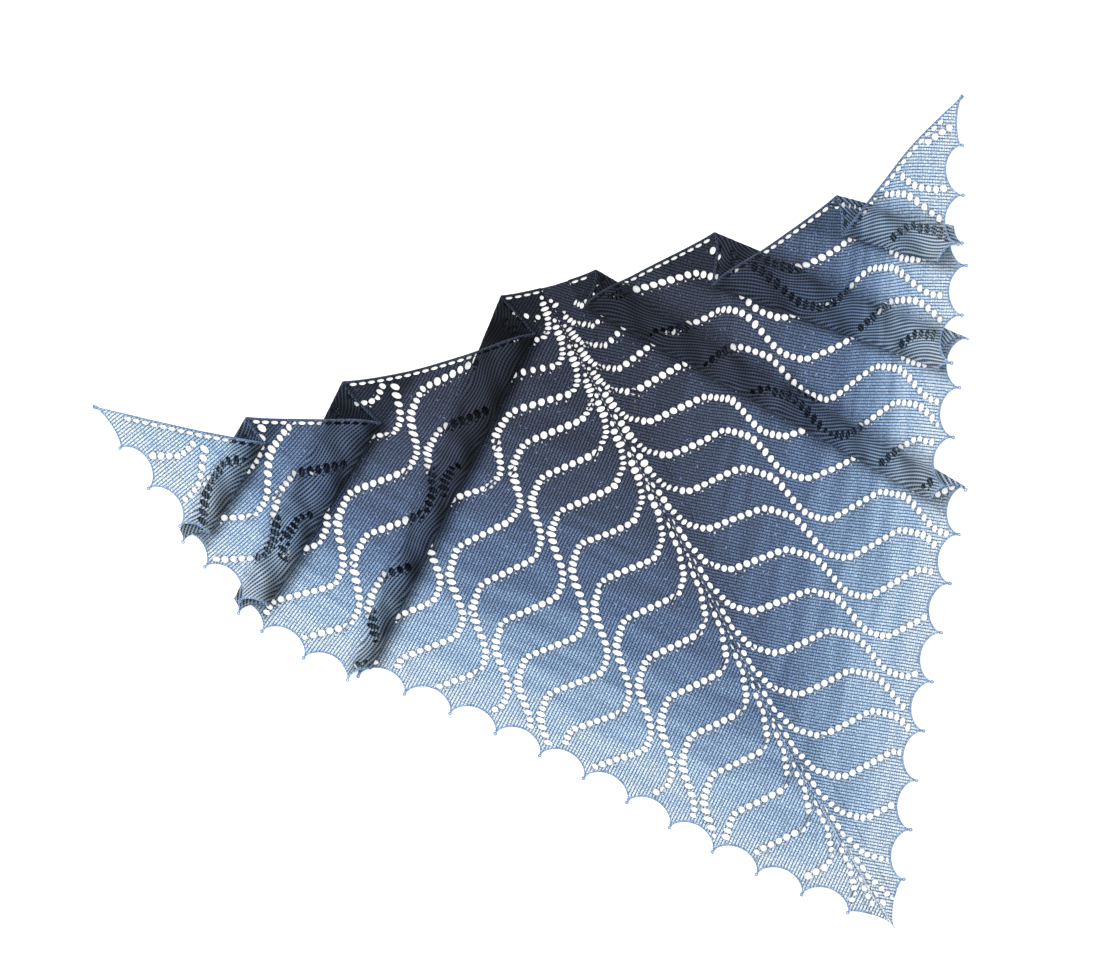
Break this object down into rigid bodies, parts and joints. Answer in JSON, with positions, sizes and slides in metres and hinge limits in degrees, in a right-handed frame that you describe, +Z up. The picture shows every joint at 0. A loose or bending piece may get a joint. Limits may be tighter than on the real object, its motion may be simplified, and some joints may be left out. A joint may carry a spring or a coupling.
{
  "type": "triangle scarf",
  "caption": "Triangular hand-knitted lace shawl laid flat, with a scalloped edge, wavy lines of eyelets and soft pleats in each wing.",
  "frame": {"origin": "middle of the shawl's box, on the surface that it lies on", "axes": "+X from the left tip to the right tip, -Y down the spine to the point, +Z up from the surface"},
  "size_m": [1.006, 0.9194, 0.0113],
  "materials": {
    "spine_yarn": "knitted wool, matt and heathered",
    "wing_yarn": "knitted wool, matt and heathered",
    "tip_yarn": "knitted wool, matt and heathered"
  },
  "bodies": {
    "root": {"spine_band": "spine_yarn", "left_panel_1": "wing_yarn", "left_panel_2": "wing_yarn", "left_panel_3": "wing_yarn", "left_panel_4": "tip_yarn", "right_panel_1": "wing_yarn", "right_panel_2": "wing_yarn", "right_panel_3": "wing_yarn", "right_panel_4": "tip_yarn"}
  },
  "joints": []
}
